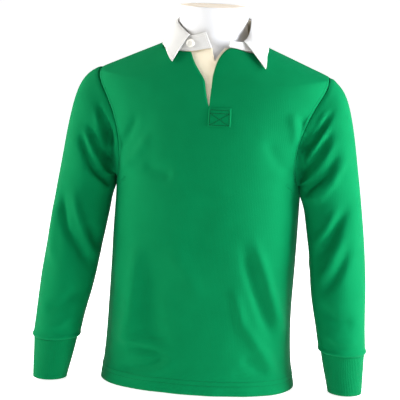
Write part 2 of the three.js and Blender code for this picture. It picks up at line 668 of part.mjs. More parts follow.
// The neck's rings above it, as how far each stands out from the neck.
const FORM_NECK = [
  { z: 703, swell: 0.6 },
  { z: 712, swell: -0.4 },
  { z: 736, swell: -0.6 },
  { z: NECK_TOP - 2, swell: 0 },
  { z: NECK_TOP, swell: -1.5 },
];
function form() {
  const turns = spread(0, 360, FORM_AROUND).slice(1);
  const torso = FORM.map(({ z, inset }) =>
    turns.map((turn) => {
      const onShoulder = smooth(0.72, 0.9, Math.abs(Math.sin(radians(turn)))) * smooth(620, 640, z);
      const point = overBody(turn, z, -(inset + (CLOTH + EASE - inset) * onShoulder));
      if (z === 0) point.z = 0;
      return point;
    }),
  );
  const neck = FORM_NECK.map(({ z, swell }) =>
    turns.map((turn) => {
      const out = outwardAt(turn);
      const x = NECK_MIDDLE.x + (NECK_WIDE + swell) * out.x;
      return new THREE.Vector3(x, NECK_MIDDLE.y + (NECK_DEEP + swell) * out.y, z);
    }),
  );
  return closedLoft([...torso, ...neck]);
}
// A solid through closed rings, with flat ends.
function closedLoft(grid) {
  const count = grid[0].length;
  const points = grid.flat();
  const faces = [];
  for (let i = 0; i + 1 < grid.length; i += 1) {
    for (let j = 0; j < count; j += 1) {
      const k = (j + 1) % count;
      const [a, b, c, d] = [i * count + j, i * count + k, (i + 1) * count + k, (i + 1) * count + j];
      faces.push(a, b, c, a, c, d);
    }
  }
  for (const [i, flip] of [
    [0, true],
    [grid.length - 1, false],
  ]) {
    const middle = new THREE.Vector3();
    grid[i].forEach((p) => middle.addScaledVector(p, 1 / count));
    const m = points.push(middle) - 1;
    for (let j = 0; j < count; j += 1) {
      const a = i * count + j;
      const b = i * count + ((j + 1) % count);
      faces.push(...(flip ? [b, a, m] : [a, b, m]));
    }
  }
  const made = new THREE.BufferGeometry();
  const flat = new Float32Array(points.flatMap((v) => [v.x, v.y, v.z]));
  made.setAttribute("position", new THREE.BufferAttribute(flat, 3));
  made.setIndex(faces);
  const loose = made.toNonIndexed();
  loose.computeVertexNormals();
  return loose;
}

const cloth = (color, roughness) => new THREE.MeshStandardMaterial({ color, roughness, metalness: 0 });
const GREEN_KNIT = cloth(0x16935a, 0.8);
const GREEN_RIB = cloth(0x148a54, 0.85);
const WHITE_TWILL = cloth(0xf3f1ec, 0.85);
const CREAM_TWILL = cloth(0xf2ead6, 0.85);
const IVORY_RUBBER = cloth(0xeceae0, 0.5);
const WHITE_FORM = cloth(0xf1f0f2, 0.4);

const shirt = new THREE.Group();
function add(name, geometry, material) {
  const mesh = new THREE.Mesh(geometry, material.clone());
  mesh.name = name;
  shirt.add(mesh);
  return mesh;
}
add("front", panelWall(FRONT), GREEN_KNIT);
add("back", panelWall(BACK), GREEN_KNIT);
for (const [name, arm] of Object.entries(ARMS)) {
  add(`sleeve_${name}`, sleeve(arm), GREEN_KNIT);
  add(`cuff_${name}`, cuff(arm), GREEN_RIB);
}
add("neckband", band(), WHITE_TWILL);
add("collar", collar(), WHITE_TWILL);
add("placket_facing", placketFacing(), CREAM_TWILL);
add("placket_underlap", placketUnderlap(), CREAM_TWILL);
add("placket_box", placketBox(), GREEN_KNIT);
placeButton(add("button", button(), IVORY_RUBBER));
add("torso_form", form(), WHITE_FORM);

export default shirt;
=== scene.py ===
# A long-sleeved rugby shirt worn by a limbless torso form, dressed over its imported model.
# Metres, +Z up: the shirt faces -Y and +X is the wearer's left.
import math

import bmesh
import bpy
import numpy as np
from mathutils import Matrix, Vector
from mathutils.bvhtree import BVHTree
from mathutils.kdtree import KDTree


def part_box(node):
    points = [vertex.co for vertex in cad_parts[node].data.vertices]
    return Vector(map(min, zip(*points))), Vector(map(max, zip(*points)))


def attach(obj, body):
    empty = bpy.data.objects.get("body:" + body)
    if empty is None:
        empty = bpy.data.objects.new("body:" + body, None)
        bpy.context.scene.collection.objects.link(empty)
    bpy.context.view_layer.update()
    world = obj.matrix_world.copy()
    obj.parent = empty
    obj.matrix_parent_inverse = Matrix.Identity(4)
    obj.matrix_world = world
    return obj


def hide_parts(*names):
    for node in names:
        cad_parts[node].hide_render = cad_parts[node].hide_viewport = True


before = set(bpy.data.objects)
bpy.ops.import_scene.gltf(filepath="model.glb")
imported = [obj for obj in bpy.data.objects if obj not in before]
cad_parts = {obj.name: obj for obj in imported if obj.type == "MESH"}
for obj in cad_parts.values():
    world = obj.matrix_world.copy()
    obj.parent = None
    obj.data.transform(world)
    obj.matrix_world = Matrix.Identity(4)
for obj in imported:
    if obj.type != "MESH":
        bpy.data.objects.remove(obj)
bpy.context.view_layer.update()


# Camera
# The photograph was taken from a little above and to the wearer's left, 3.6 m away, with the
# camera rolled slightly. Its frame is square.
def way_out(azimuth, elevation):
    """The way from the shirt to a place at these angles: azimuth 0 is straight in front."""
    a, e = math.radians(azimuth), math.radians(elevation)
    return Vector((math.sin(a) * math.cos(e), -math.cos(a) * math.cos(e), math.sin(e)))


def aim(azimuth, elevation, roll, distance, target, aside):
    """Where a camera stands and how it is turned to see a target a little off its middle."""
    back = way_out(azimuth, elevation)
    a, r = math.radians(azimuth), math.radians(roll)
    right = Vector((math.cos(a), math.sin(a), 0))
    up = back.cross(right)
    rolled = math.cos(r) * right + math.sin(r) * up
    upward = math.cos(r) * up - math.sin(r) * right
    eye = Vector(target) + back * distance - rolled * aside
    turn = Matrix((rolled, upward, back)).transposed().to_4x4()
    return Matrix.Translation(eye) @ turn


lens = bpy.data.cameras.new("studio_lens")
lens.sensor_width = 36
lens.lens = 162
camera = bpy.data.objects.new("camera", lens)
camera.matrix_world = aim(
    azimuth=7, elevation=10.5, roll=2.2, distance=3.6, target=(0, 0, 0.375), aside=0.012
)
bpy.context.collection.objects.link(camera)
bpy.context.scene.camera = camera

# Torso form
# A limbless torso with a cut-off neck, moulded in white glass fibre and lacquered. Its
# neck ends in a flat top coloured buff, and it stands on its own flat base inside the shirt.
MM = 0.001
SAME_SPOT = 2e-5  # points nearer than this are one point
SAME_LEVEL = 1e-5  # and points this near in height are level


def linear(code):
    """An sRGB hex colour as linear RGBA."""
    parts = [int(code[i : i + 2], 16) / 255 for i in (0, 2, 4)]
    return (*(c / 12.92 if c <= 0.04045 else ((c + 0.055) / 1.055) ** 2.4 for c in parts), 1)


def new_material(name):
    material = bpy.data.materials.new(name)
    material.use_nodes = True
    material.node_tree.nodes.clear()
    return material


def add_node(owner, kind, links=None, inputs=None, **settings):
    """Adds a node to a material or the studio, with its settings, links and fixed inputs."""
    node = owner.node_tree.nodes.new(kind)
    for name, value in settings.items():
        setattr(node, name, value)
    for name, value in (inputs or {}).items():
        node.inputs[name].default_value = value
    for name, source in (links or {}).items():
        owner.node_tree.links.new(source, node.inputs[name])
    return node


def mottled(material, at, dark, light, scale, detail):
    """A colour that wanders between two shades, and the noise that it follows."""
    grain = {"Scale": scale, "Detail": detail}
    noise = add_node(material, "ShaderNodeTexNoise", {"Vector": at}, grain).outputs["Fac"]
    shades = {6: linear(dark), 7: linear(light)}
    colour = add_node(material, "ShaderNodeMix", {0: noise}, shades, data_type="RGBA")
    return colour.outputs[2], noise


def only(*pieces):
    """Selects just these, the first one active."""
    bpy.ops.object.select_all(action="DESELECT")
    for piece in pieces:
        piece.select_set(True)
    bpy.context.view_layer.objects.active = pieces[0]


def finish_with(piece, kind, **settings):
    """Adds a modifier to a piece and applies it."""
    only(piece)
    modifier = piece.modifiers.new(kind, kind)
    for name, value in settings.items():
        setattr(modifier, name, value)
    bpy.ops.object.modifier_apply(modifier=modifier.name)


def start_from(node, name):
    """A new piece that starts as a copy of a CAD node."""
    piece = bpy.data.objects.new(name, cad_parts[node].data.copy())
    bpy.context.collection.objects.link(piece)
    piece.data.materials.clear()
    return piece


def stand_for(piece, *nodes, slot):
    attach(piece, "root")
    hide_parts(*nodes)


# Lacquered glass fibre: plain white, smooth, with a soft gloss and faint orange peel.
lacquer = new_material("white_lacquer")
at = add_node(lacquer, "ShaderNodeTexCoord").outputs["Object"]
peel = add_node(lacquer, "ShaderNodeTexNoise", {"Vector": at}, {"Scale": 220, "Detail": 2})
peel_bump = add_node(
    lacquer,
    "ShaderNodeBump",
    {"Height": peel.outputs["Fac"]},
    {"Strength": 0.04, "Distance": 0.0006},
)
gloss = add_node(
    lacquer,
    "ShaderNodeBsdfPrincipled",
    {"Normal": peel_bump.outputs["Normal"]},
    {
        "Base Color": linear("d2d1d0"),
        "Roughness": 0.42,
        "IOR": 1.5,
        "Coat Weight": 0.15,
        "Coat Roughness": 0.3,
    },
)
add_node(lacquer, "ShaderNodeOutputMaterial", {"Surface": gloss.outputs["BSDF"]})

# The neck's flat top is coloured buff, matt and a little uneven.
top_tone = new_material("buff_neck_top")
at = add_node(top_tone, "ShaderNodeTexCoord").outputs["Object"]
buff, _ = mottled(top_tone, at, "fbeedb", "f2e2ca", scale=60, detail=4)
matt = add_node(top_tone, "ShaderNodeBsdfPrincipled", {"Base Color": buff}, {"Roughness": 0.75})
add_node(top_tone, "ShaderNodeOutputMaterial", {"Surface": matt.outputs["BSDF"]})

torso = start_from("torso_form", "torso")
only(torso)
bpy.ops.object.mode_set(mode="EDIT")
bpy.ops.mesh.select_all(action="SELECT")
bpy.ops.mesh.remove_doubles(threshold=SAME_SPOT)
bpy.ops.mesh.tris_convert_to_quads(face_threshold=math.pi, shape_threshold=math.pi)
bpy.ops.object.mode_set(mode="OBJECT")
base_level, cap_level = (corner.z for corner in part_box("torso_form"))
form = bmesh.new()
form.from_mesh(torso.data)
sharp = form.edges.layers.float.new("crease_edge")
for level in (base_level, cap_level):
    lid = [f for f in form.faces if all(abs(v.co.z - level) < SAME_LEVEL for v in f.verts)]
    bmesh.ops.dissolve_faces(form, faces=lid)
    for edge in form.edges:
        if sum(abs(vert.co.z - level) for vert in edge.verts) < SAME_LEVEL:
            edge[sharp] = 1
form.to_mesh(torso.data)
form.free()
finish_with(torso, "SUBSURF", levels=2, render_levels=2)
torso.data.materials.append(lacquer)
torso.data.materials.append(top_tone)
for face in torso.data.polygons:
    on_cap = face.normal.z > 0.9 and face.center.z > cap_level - 2 * MM
    face.material_index = 1 if on_cap else 0
only(torso)
bpy.ops.object.shade_smooth_by_angle(angle=math.radians(40))
stand_for(torso, "torso_form", slot="white_form")


# Front and back panels
# Two panels of heavy knitted cotton, cut to hang straight from the armholes and sewn at
# the sides and shoulders. The front is slit down from the neck for the placket.
def wall_of(node, name):
    """The outer face of a CAD cloth wall: the largest of the sides that its sharp edges
    part, without its rims and its inner face. Its outline's corners are kept sharp."""
    piece = start_from(node, name)
    mesh = bmesh.new()
    mesh.from_mesh(piece.data)
    bmesh.ops.remove_doubles(mesh, verts=mesh.verts, dist=SAME_SPOT)
    unseen = set(mesh.faces)
    sides = []
    while unseen:
        side = [unseen.pop()]
        for reached in side:
            for edge in reached.edges:
                if edge.calc_face_angle(math.pi) < math.radians(35):
                    joined = unseen.intersection(edge.link_faces)
                    unseen -= joined
                    side.extend(joined)
        sides.append(side)
    sides.sort(key=lambda side: sum(face.calc_area() for face in side))
    hidden = [face for side in sides[:-1] for face in side]
    bmesh.ops.delete(mesh, geom=hidden, context="FACES")
    bmesh.ops.join_triangles(
        mesh, faces=mesh.faces, angle_face_threshold=math.pi, angle_shape_threshold=math.pi
    )
    corner = mesh.verts.layers.float.new("crease_vert")
    for vert in mesh.verts:
        ways = [e.other_vert(vert).co - vert.co for e in vert.link_edges if e.is_boundary]
        if len(ways) == 2 and ways[0].angle(ways[1]) < math.radians(130):
            vert[corner] = 1
    mesh.to_mesh(piece.data)
    mesh.free()
    return piece


def smoothed(piece, levels):
    finish_with(
        piece,
        "SUBSURF",
        levels=levels,
        render_levels=levels,
        boundary_smooth="PRESERVE_CORNERS",
    )
    piece.data.shade_smooth()


def points_of(piece):
    """A piece's points and their normals."""
    count = len(piece.data.vertices)
    spots = np.empty(count * 3)
    normals = np.empty(count * 3)
    piece.data.vertices.foreach_get("co", spots)
    piece.data.vertex_normals.foreach_get("vector", normals)
    return spots.reshape(-1, 3), normals.reshape(-1, 3)


def move_points(piece, spots):
    piece.data.vertices.foreach_set("co", spots.ravel())
    piece.data.update()


def ease(low, high, at):
    """Rises smoothly from 0 to 1 between two values."""
    t = np.clip((at - low) / (high - low), 0, 1)
    return t * t * (3 - 2 * t)


def bump_at(middle, wide, at):
    """A soft bump of height 1 round a value."""
    return np.exp(-(((at - middle) / wide) ** 2))


def fold(wide, high, *path, ends=(0.25, 0.25)):
    """A row in a table of folds: its width, its height (below 0 for a trough) and the path
    of its middle, in millimetres, with the share of it that fades at each end."""
    return dict(path=path, wide=wide, high=high, ends=ends)


def fold_along(across, up, path, wide, high, ends):
    """How far one fold lifts the cloth at some places."""
    path = np.array(path, float)
    nearest = np.full(len(across), 1e9)
    along = np.zeros(len(across))
    for i, (start, end) in enumerate(zip(path[:-1], path[1:])):
        run = end - start
        length = np.hypot(*run)
        from_x, from_z = across - start[0], up - start[1]
        t = np.clip((from_x * run[0] + from_z * run[1]) / length**2, 0, 1)
        off = np.hypot(from_x - t * run[0], from_z - t * run[1])
        closer = off < nearest
        nearest = np.where(closer, off, nearest)
        along = np.where(closer, (i + t) / (len(path) - 1), along)
    fade = ease(-0.01, ends[0], along) * (1 - ease(1 - ends[1], 1.01, along))
    return high * fade * bump_at(0, wide, nearest)


def lift_folds(piece, folds, front=True, seams=None):
    """Lifts a piece's points by a table of folds drawn as seen from the front (or through
    it, for the back), fading round its sides and towards its seams."""
    spots, normals = points_of(piece)
    toward = -normals[:, 1] if front else normals[:, 1]
    lift = np.zeros(len(spots))
    for row in folds:
        lift += fold_along(spots[:, 0] / MM, spots[:, 2] / MM, **row)
    lift *= ease(-0.25, 0.25, toward)
    if seams:
        lift *= ease(0, 9 * MM, distance_from(seams, spots))
    move_points(piece, spots + normals * (lift * MM)[:, None])


def edge_runs(piece, chosen=lambda spot: True):
    """The chosen stretches of a piece's free edge, in order: each point with the way into
    the cloth and the cloth's normal there."""
    mesh = bmesh.new()
    mesh.from_mesh(piece.data)
    leaving = {}
    for edge in mesh.edges:
        if edge.is_boundary:
            leaving[edge.link_loops[0].vert] = edge.link_loops[0]
    runs = []
    while leaving:
        vert = next(iter(leaving))
        ring = []
        while vert in leaving:
            loop = leaving.pop(vert)
            after = loop.link_loop_next.vert
            into = loop.face.normal.cross(after.co - vert.co).normalized()
            ring.append((vert.co.copy(), into))
            vert = after
        wanted = [chosen(spot) for spot, _ in ring]
        if all(wanted):
            runs.append(ring + ring[:1])
            continue
        first = wanted.index(False)
        run = []
        for row, take in zip(ring[first:] + ring[:first], wanted[first:] + wanted[:first]):
            if take:
                run.append(row)
            elif run:
                runs.append(run)
                run = []
        if run:
            runs.append(run)
    mesh.free()
    return runs


def distance_from(runs, spots):
    """How far each spot is from some runs of an edge."""
    near = []
    for run in runs:
        for (a, _), (b, _) in zip(run, run[1:]):
            near.extend(a.lerp(b, k / 4) for k in range(4))
    tree = KDTree(len(near))
    for i, spot in enumerate(near):
        tree.insert(spot, i)
    tree.balance()
    return np.array([tree.find(Vector(spot))[2] for spot in spots])


def seam_at(piece, runs, deep=0.6 * MM, wide=2.6 * MM):
    """Draws the cloth in towards a seam, and keeps the distance from it for the material."""
    spots, _ = points_of(piece)
    near = distance_from(runs, spots)
    outward = spots.copy()
    outward[:, 2] = 150 * MM  # the cloth is drawn in and slightly down
    outward /= np.linalg.norm(outward, axis=1)[:, None]
    move_points(piece, spots - outward * (deep * bump_at(0, wide, near))[:, None])
    kept = piece.data.attributes.new("seam", "FLOAT", "POINT")
    kept.data.foreach_set("value", near)


def wrap_uv(piece, middle, radius):
    """Lays a UV map in metres round a piece of about this radius: u runs round its middle
    and v runs up."""
    layer = piece.data.uv_layers.new(name="cloth")
    spots, _ = points_of(piece)
    middles = np.array([middle(z) for z in spots[:, 2]])
    angle = np.arctan2(spots[:, 0] - middles[:, 0], -(spots[:, 1] - middles[:, 1]))
    corner = np.empty(len(piece.data.loops), int)
    piece.data.loops.foreach_get("vertex_index", corner)
    turn = angle[corner]
    for face in piece.data.polygons:
        here = turn[face.loop_start : face.loop_start + face.loop_total]
        if here.max() - here.min() > math.pi:
            here[here < 0] += 2 * math.pi
    flat = np.stack([turn * radius, spots[corner, 2]], axis=1)
    layer.data.foreach_set("uv", flat.ravel())


def thicken(piece, thick, **settings):
    finish_with(piece, "SOLIDIFY", thickness=thick, offset=-1, use_even_offset=False, **settings)
    piece.data.shade_smooth()


def surface_of(mesh):
    """A mesh's surface, to find places on it."""
    solid = bmesh.new()
    solid.from_mesh(mesh)
    bmesh.ops.triangulate(solid, faces=solid.faces)
    surface = BVHTree.FromBMesh(solid)
    solid.free()
    return surface


def row_beside(run, inset):
    """A line of sewing beside an edge."""
    return [spot + into * inset for spot, into in run]


def stitch_ends(row, pitch, surface):
    """Where each stitch of a row enters and leaves the cloth, with the cloth's normals."""
    steps = [0.0]
    for a, b in zip(row, row[1:]):
        steps.append(steps[-1] + (b - a).length)
    count = max(1, round(steps[-1] / pitch))
    ends = []
    for k in range(count):
        for share in (0.12, 0.88):
            at = (k + share) / count * steps[-1]
            i = min(int(np.searchsorted(steps, at, side="right")) - 1, len(row) - 2)
            t = (at - steps[i]) / max(steps[i + 1] - steps[i], 1e-9)
            ends.append(surface.find_nearest(row[i].lerp(row[i + 1], t))[:2])
    return zip(ends[::2], ends[1::2])


# Rings of a stitch's thread: how far along it, how fat and how high.
STITCH = ((0, 0.35, -0.25), (0.2, 0.9, 0.05), (0.5, 1, 0.2), (0.8, 0.9, 0.05), (1, 0.35, -0.25))
STITCH_SIDES = 6


def sew(name, cloth, rows, thread, pitch=3.3 * MM, radius=0.32 * MM, lift=0.1 * MM):
    """Sews rows of stitches on a cloth, one every pitch: each is a short bulging thread
    that dips into the cloth at both ends."""
    surface = surface_of(cloth.data)
    points, faces = [], []
    for row in rows:
        for (start, out), (end, _) in stitch_ends(row, pitch, surface):
            first = len(points)
            side = (end - start).normalized().cross(out).normalized()
            for share, fat, high in STITCH:
                middle = start.lerp(end, share) + out * (lift + high * radius)
                for turn in range(STITCH_SIDES):
                    angle = math.tau * turn / STITCH_SIDES
                    around = side * math.cos(angle) + out * math.sin(angle)
                    points.append(middle + around * radius * fat)
            last = len(points) - STITCH_SIDES
            for ring in range(first, last, STITCH_SIDES):
                above = ring + STITCH_SIDES
                for turn in range(STITCH_SIDES):
                    after = (turn + 1) % STITCH_SIDES
                    faces.append((ring + turn, ring + after, above + after, above + turn))
            faces.append(tuple(reversed(range(first, first + STITCH_SIDES))))
            faces.append(tuple(range(last, last + STITCH_SIDES)))
    stitched = bpy.data.meshes.new(name)
    stitched.from_pydata(points, [], faces)
    stitched.materials.append(thread)
    stitched.shade_smooth()
    piece = bpy.data.objects.new(name, stitched)
    bpy.context.collection.objects.link(piece)
    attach(piece, "root")
    return piece


# Spun polyester thread: a slight gloss, close to its cloth in colour.
def thread_of(name, code):
    material = new_material(name)
    look = {"Base Color": linear(code), "Roughness": 0.7, "Specular IOR Level": 0.06}
    strand = add_node(material, "ShaderNodeBsdfPrincipled", inputs=look)
    add_node(material, "ShaderNodeOutputMaterial", {"Surface": strand.outputs["BSDF"]})
    return material


WAVE_BAND = 0.314  # metres between the bands of a wave texture whose scale is 1


# Knitted cotton: matt, with a soft nap that lightens at a slant. Its wales stand 1.5 mm
# apart, drawn at 3 mm to show, and the dye is faintly uneven. It puckers along its seams.
def knitted(name, dark, light, wale, rib=0.0):
    material = new_material(name)
    cloth = add_node(material, "ShaderNodeUVMap", uv_map="cloth").outputs["UV"]
    at = add_node(material, "ShaderNodeTexCoord").outputs["Object"]
    dye, _ = mottled(material, at, dark, light, scale=26, detail=5)
    wales = add_node(
        material,
        "ShaderNodeTexWave",
        {"Vector": cloth},
        {"Scale": WAVE_BAND / wale, "Distortion": 1.5, "Detail": 2, "Detail Scale": 2},
        bands_direction="X",
    )
    nap = add_node(material, "ShaderNodeTexNoise", {"Vector": at}, {"Scale": 900, "Detail": 3})
    height = add_node(
        material,
        "ShaderNodeMath",
        {0: wales.outputs["Fac"], 1: nap.outputs["Fac"]},
        {2: 0.5},
        operation="MULTIPLY_ADD",
    )
    seam = add_node(material, "ShaderNodeAttribute", attribute_name="seam").outputs["Fac"]
    closeness = add_node(
        material,
        "ShaderNodeMapRange",
        {"Value": seam},
        {"From Min": 0.0, "From Max": 9 * MM, "To Min": 1.0, "To Max": 0.0},
        interpolation_type="SMOOTHSTEP",
    )
    gather = add_node(material, "ShaderNodeTexNoise", {"Vector": at}, {"Scale": 170, "Detail": 1})
    pucker = add_node(
        material,
        "ShaderNodeMath",
        {0: closeness.outputs["Result"], 1: gather.outputs["Fac"]},
        operation="MULTIPLY",
    )
    pucker_bump = add_node(
        material,
        "ShaderNodeBump",
        {"Height": pucker.outputs["Value"]},
        {"Strength": 0.5, "Distance": 0.0012},
    )
    nap_bump = add_node(
        material,
        "ShaderNodeBump",
        {"Height": nap.outputs["Fac"], "Normal": pucker_bump.outputs["Normal"]},
        {"Strength": 0.35, "Distance": 0.0008},
    )
    wale_bump = add_node(
        material,
        "ShaderNodeBump",
        {"Height": height.outputs["Value"], "Normal": nap_bump.outputs["Normal"]},
        {"Strength": 0.25 + rib, "Distance": 0.0006 + rib * 0.001},
    )
    shader = add_node(
        material,
        "ShaderNodeBsdfPrincipled",
        {"Base Color": dye, "Normal": wale_bump.outputs["Normal"]},
        {
            "Roughness": 0.8,
            "IOR": 1.45,
            "Specular IOR Level": 0.1,
            "Specular Tint": linear("50e8a8"),
            "Sheen Weight": 0.06,
            "Sheen Roughness": 0.35,
            "Sheen Tint": linear("4fe0b4"),
        },
    )
    add_node(material, "ShaderNodeOutputMaterial", {"Surface": shader.outputs["BSDF"]})
    return material


green_knit = knitted("green_jersey", "03673a", "056f40", wale=3 * MM)
green_thread = thread_of("green_thread", "03502b")

FRONT_FOLDS = [
    # Long pulls down to the wearer's left hip.
    fold(9, -8, (84, 320), (109, 234), (132, 170), (158, 108)),
    fold(9, 8, (104, 335), (135, 245), (154, 180), (172, 125)),
    fold(10, 6.5, (68, 240), (94, 150), (135, 90), (168, 36)),
    fold(9, -5, (92, 84), (122, 60), (150, 42)),
    fold(5, -3, (74, 46), (105, 44), (138, 48)),
    # A broad swell and a hollow on the wearer's right side.
    fold(18, 10, (-116, 310), (-124, 230), (-130, 150), (-148, 90)),
    fold(27, -7.5, (-84, 280), (-92, 190), (-84, 125), (-58, 84)),
    # Creases above the hem, from the wearer's right side.
    fold(7, 5.5, (-164, 101), (-110, 100), (-45, 93)),
    fold(6, -6.5, (-140, 90), (-95, 84), (-48, 78)),
    fold(7, -5.5, (-44, 78), (-95, 54), (-156, 36)),
    fold(8, 4, (-30, 70), (-80, 38), (-150, 20)),
    # Under the chest, and pulls towards both armpits.
    fold(14, -3.8, (-116, 459), (-84, 445), (-50, 440)),
    fold(9, -6, (187, 562), (197, 540), (193, 505)),
    fold(9, 4.5, (168, 572), (176, 540), (180, 500)),
    fold(9, -4.5, (-180, 470), (-150, 505), (-128, 560)),
    fold(10, 3.8, (-170, 440), (-132, 470), (-100, 520)),
    fold(12, -3.8, (186, 440), (150, 470), (120, 520)),
    # Soft waves across the belly.
    fold(22, 4.2, (-60, 300), (-20, 250), (10, 180)),
    fold(26, -3, (20, 420), (0, 340), (-10, 260)),
]
BACK_FOLDS = [
    # From under the arms towards the small of the back.
    fold(10, 3.9, (-175, 430), (-140, 385), (-80, 345)),
    fold(9, -3.9, (-180, 395), (-140, 350), (-95, 320)),
    fold(10, 3.9, (178, 430), (150, 380), (92, 338)),
    fold(9, -3.9, (182, 400), (150, 345), (100, 312)),
    # Long waves down to the hem, and one crease above it.
    fold(12, 3.9, (-150, 300), (-125, 210), (-135, 120)),
    fold(12, -3.2, (-95, 290), (-80, 190), (-110, 80)),
    fold(12, 3.9, (110, 290), (95, 200), (130, 90)),
    fold(13, -3.2, (60, 300), (50, 200), (90, 70)),
    fold(14, 3.2, (-20, 260), (0, 170), (-30, 60)),
    fold(8, -2.6, (-60, 60), (0, 48), (60, 62)),
    # Across the shoulder blades, and behind the armpits.
    fold(14, -2.6, (-120, 620), (-60, 600), (0, 598), (70, 602), (130, 622)),
    fold(10, 3.9, (-150, 560), (-130, 500), (-150, 450)),
    fold(10, 3.9, (160, 560), (140, 505), (158, 450)),
]
CLOTH = 2 * MM
ARMPIT_HOLLOW = fold(11, 13, (201, 548), (195, 505), (192, 460), (193, 415), ends=(0.45, 0.2))
BODY_MIDDLE = (0.0, 0.002)  # in plan, metres
HALF_ROUND = 1.5  # radians that a panel's hem is sewn to, each way from its middle
# The hem's twin rows of stitches, its top, and what it stands out by, in millimetres.
HEM = dict(rows=(24, 33), top=34, proud=1.3, groove=0.9, groove_wide=1.7, wave=1.1)
# The slit's foot: its place, how far and how widely it is drawn down, and how its sides
# are drawn together above it.
SLIT_FOOT = dict(x=11.5 * MM, z=600 * MM, drop=17 * MM, radius=17 * MM)
SLIT_CLOSING = dict(share=0.8, aside=15 * MM, above=48)


def sink_armpit(piece):
    """In front of the armpit the cloth sinks back on both sides of the armhole's seam."""
    spots, _ = points_of(piece)
    deep = fold_along(abs(spots[:, 0]) / MM, spots[:, 2] / MM, **ARMPIT_HOLLOW)
    spots[:, 1] += deep * MM * ease(-10 * MM, 30 * MM, -spots[:, 1])
    move_points(piece, spots)


def sewn(spot):
    """A panel's edge is sewn except at the hem, the neck and the slit."""
    near_neck = abs(spot.x) < 85 * MM and spot.z > 560 * MM
    return spot.z > 12 * MM and not near_neck


def at_armhole(spot):
    return 420 * MM < spot.z < 628 * MM and abs(spot.x) > 100 * MM


def open_slit(panel):
    """Draws the foot of the front's slit down to the box that closes it, and its sides
    together to a point there."""
    spots, normals = points_of(panel)
    aside = spots[:, 0] - SLIT_FOOT["x"]
    away = np.hypot(aside, spots[:, 2] - SLIT_FOOT["z"])
    in_front = normals[:, 1] < 0
    share = bump_at(0, SLIT_FOOT["radius"], away) * in_front
    down = np.array([0, 0, -1]) + normals * normals[:, 2:]
    spots += down * (share * SLIT_FOOT["drop"])[:, None]
    above = (spots[:, 2] - SLIT_FOOT["z"] + SLIT_FOOT["drop"]) / MM
    closing = (1 - ease(0, SLIT_CLOSING["above"], above)) * ease(-30, -6, above) * in_front
    closing *= SLIT_CLOSING["share"] * bump_at(0, SLIT_CLOSING["aside"], aside)
    spots[:, 0] -= aside * closing
    move_points(panel, spots)


def turn_hem(panel):
    """The hem is turned up double, so it stands a little proud below its twin needle lines,
    which are drawn into the cloth. Its edge waves slightly."""
    spots, normals = points_of(panel)
    level = spots[:, 2] / MM
    lift = HEM["proud"] * (1 - ease(HEM["top"], HEM["top"] + 3, level))
    for row in HEM["rows"]:
        lift -= HEM["groove"] * bump_at(row, HEM["groove_wide"], level)
    waves = np.sin(spots[:, 0] * 41 + 1.3) + 0.6 * np.sin(spots[:, 0] * 97 + spots[:, 1] * 20)
    lift += HEM["wave"] * waves * (1 - ease(5, 60, level))
    move_points(panel, spots + normals * (lift * MM)[:, None])


def level_row(surface, level, middle):
    """A level line of sewing round a panel, found by looking in at it from outside."""
    row = []
    for turn in np.linspace(middle - HALF_ROUND, middle + HALF_ROUND, 160):
        outward = Vector((math.sin(turn), -math.cos(turn), 0))
        spot = surface.ray_cast(outward * 0.4 + Vector((0, 0, level)), -outward)[0]
        if spot:
            row.append(spot)
    return row


for node, folds, flat, in_front in (
    ("front", FRONT_FOLDS, (0.52, 0.72), True),
    ("back", BACK_FOLDS, (0.52, 0.74), False),
):
    panel = wall_of(node, f"{node}_panel")
    smoothed(panel, 2)
    lift_folds(panel, folds, front=in_front, seams=edge_runs(panel, sewn))
    sink_armpit(panel)
    seams = edge_runs(panel, sewn)
    armholes = edge_runs(panel, at_armhole)
    if in_front:
        open_slit(panel)
    turn_hem(panel)
    seam_at(panel, seams)
    wrap_uv(panel, lambda z: BODY_MIDDLE, radius=150 * MM)
    thicken(panel, CLOTH)
    panel.data.materials.append(green_knit)
    stand_for(panel, node, slot="green_knit")
    rows = [row_beside(run, 6 * MM) for run in armholes]
    surface = surface_of(panel.data)
    for level in HEM["rows"]:
        rows.append(level_row(surface, level * MM, middle=0 if in_front else math.pi))
    stitches = sew(f"{node}_stitches", panel, rows, green_thread)

